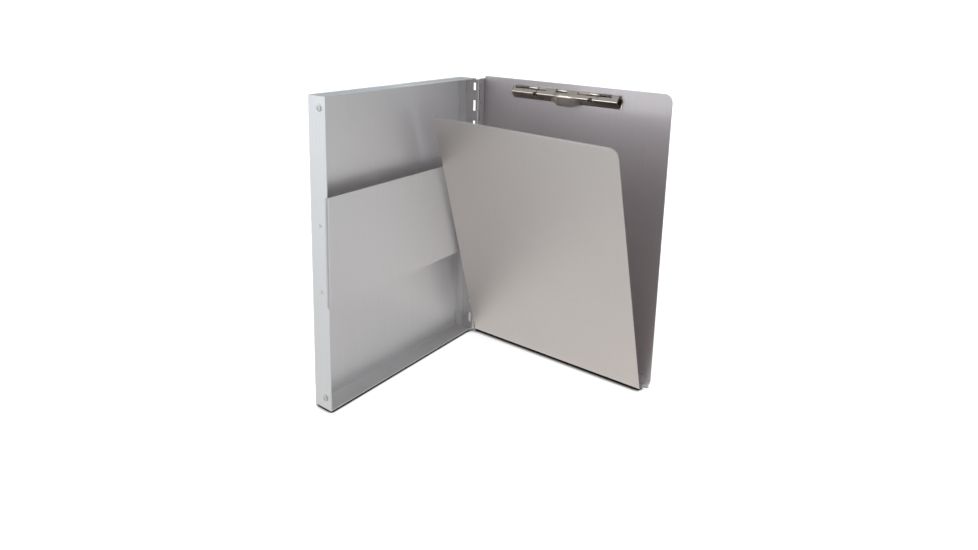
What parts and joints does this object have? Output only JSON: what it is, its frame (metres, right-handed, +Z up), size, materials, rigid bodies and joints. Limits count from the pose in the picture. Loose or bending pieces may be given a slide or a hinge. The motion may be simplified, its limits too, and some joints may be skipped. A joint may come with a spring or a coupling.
{
  "type": "storage clipboard box",
  "caption": "Book-style metal storage clipboard box: shallow tray with a retaining strap, cover on a long side hinge, sprung writing plate and a low spring clip.",
  "frame": {"origin": "middle of the open box's footprint, on the surface it stands on", "axes": "+Z up along the hinge; the tray runs along X with its open side towards -Y; the open cover runs along -Y from the hinge with its inner face towards -X"},
  "size_m": [0.2536, 0.2692, 0.3325],
  "materials": {
    "brushed_aluminium": "fine brushed",
    "plate_metal": "satin, warmer than the tray",
    "hinge_metal": "plain rolled",
    "rivet_metal": "satin",
    "bright_nickel": "bright nickel plate",
    "steel_wire": "drawn wire"
  },
  "bodies": {
    "tray": {"tray_pan": "brushed_aluminium", "tray_corner_rivets": "rivet_metal", "retaining_strap": "brushed_aluminium", "strap_rivets": "rivet_metal", "hinge_leaf_tray": "hinge_metal", "hinge_pin": "steel_wire", "hinge_rivets_tray": "rivet_metal"},
    "cover": {"cover_panel": "brushed_aluminium", "hinge_leaf_cover": "hinge_metal", "hinge_rivets_cover": "rivet_metal", "plate_foot": "plate_metal", "foot_rivets": "rivet_metal", "clip_base": "bright_nickel", "clip_rod": "steel_wire", "clip_spring_left": "steel_wire", "clip_spring_right": "steel_wire", "clip_rivets": "rivet_metal"},
    "plate": {"writing_plate": "plate_metal"},
    "jaw": {"clip_jaw": "bright_nickel"}
  },
  "joints": [
    {"name": "cover_hinge", "type": "hinge", "parent": "tray", "child": "cover", "pos_m": [0.11227, 0.10668, 0.165], "axis": [0, 0, 1], "range_deg": [-90, 90]},
    {"name": "plate_flex", "type": "hinge", "parent": "cover", "child": "plate", "pos_m": [0.11597, -0.01112, 0.0005], "axis": [0, 1, 0], "range_deg": [-18.5, 18.5], "deforming": ["writing_plate"]},
    {"name": "jaw_pivot", "type": "hinge", "parent": "cover", "child": "jaw", "pos_m": [0.12287, -0.00833, 0.3243], "axis": [0, 1, 0], "range_deg": [0, 35], "stiffness_Nm_per_rad": 0.3, "springref_deg": -28.65, "deforming": ["clip_spring_left", "clip_spring_right"]}
  ],
  "couplings": [
    {"joint": "plate_flex", "follows": "cover_hinge", "ratio": -0.20556}
  ]
}
